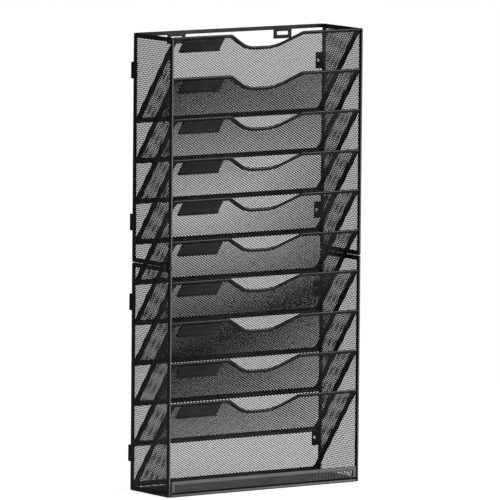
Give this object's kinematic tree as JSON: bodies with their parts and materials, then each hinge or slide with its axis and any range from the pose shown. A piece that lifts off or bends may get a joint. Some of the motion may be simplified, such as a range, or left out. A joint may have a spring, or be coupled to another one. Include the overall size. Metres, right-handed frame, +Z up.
{
  "type": "wall file organizer",
  "caption": "Tall black steel mesh wall file organizer: stacked sloping pockets with scooped rims and label holders between framed mesh side panels, over a lipped shelf.",
  "frame": {"origin": "on the wall plane, midway between the side panels, level with their lower edge", "axes": "+Z up, +Y into the wall, so the pockets face -Y, +X to the right of someone facing the front"},
  "size_m": [0.32, 0.0995, 0.634],
  "materials": {
    "frame_black": "satin black powder coat",
    "mesh_black": "satin black powder coat on expanded steel mesh",
    "label_black": "satin black powder coat",
    "bracket_black": "satin black powder coat",
    "stud_zinc": "zinc plated"
  },
  "bodies": {
    "root": {"lower_left_side_frame": "frame_black", "lower_left_side_mesh": "mesh_black", "lower_right_side_frame": "frame_black", "lower_right_side_mesh": "mesh_black", "upper_left_side_frame": "frame_black", "upper_left_side_mesh": "mesh_black", "upper_right_side_frame": "frame_black", "upper_right_side_mesh": "mesh_black", "left_front_stud": "stud_zinc", "left_rear_stud": "stud_zinc", "right_front_stud": "stud_zinc", "right_rear_stud": "stud_zinc", "pocket_frame_01": "frame_black", "pocket_mesh_01": "mesh_black", "label_holder_01": "label_black", "pocket_frame_02": "frame_black", "pocket_mesh_02": "mesh_black", "label_holder_02": "label_black", "pocket_frame_03": "frame_black", "pocket_mesh_03": "mesh_black", "label_holder_03": "label_black", "pocket_frame_04": "frame_black", "pocket_mesh_04": "mesh_black", "label_holder_04": "label_black", "pocket_frame_05": "frame_black", "pocket_mesh_05": "mesh_black", "label_holder_05": "label_black", "pocket_frame_06": "frame_black", "pocket_mesh_06": "mesh_black", "label_holder_06": "label_black", "pocket_frame_07": "frame_black", "pocket_mesh_07": "mesh_black", "label_holder_07": "label_black", "pocket_frame_08": "frame_black", "pocket_mesh_08": "mesh_black", "label_holder_08": "label_black", "pocket_frame_09": "frame_black", "pocket_mesh_09": "mesh_black", "label_holder_09": "label_black", "pocket_frame_10": "frame_black", "pocket_mesh_10": "mesh_black", "label_holder_10": "label_black", "rear_top_plate": "frame_black", "shelf_floor_frame": "frame_black", "shelf_lip_frame": "frame_black", "shelf_floor_mesh": "mesh_black", "shelf_lip_mesh": "mesh_black", "lower_left_bottom_bracket": "bracket_black", "lower_left_top_bracket": "bracket_black", "lower_right_bottom_bracket": "bracket_black", "lower_right_top_bracket": "bracket_black", "upper_left_bottom_bracket": "bracket_black", "upper_left_top_bracket": "bracket_black", "upper_right_bottom_bracket": "bracket_black", "upper_right_top_bracket": "bracket_black"}
  },
  "joints": []
}
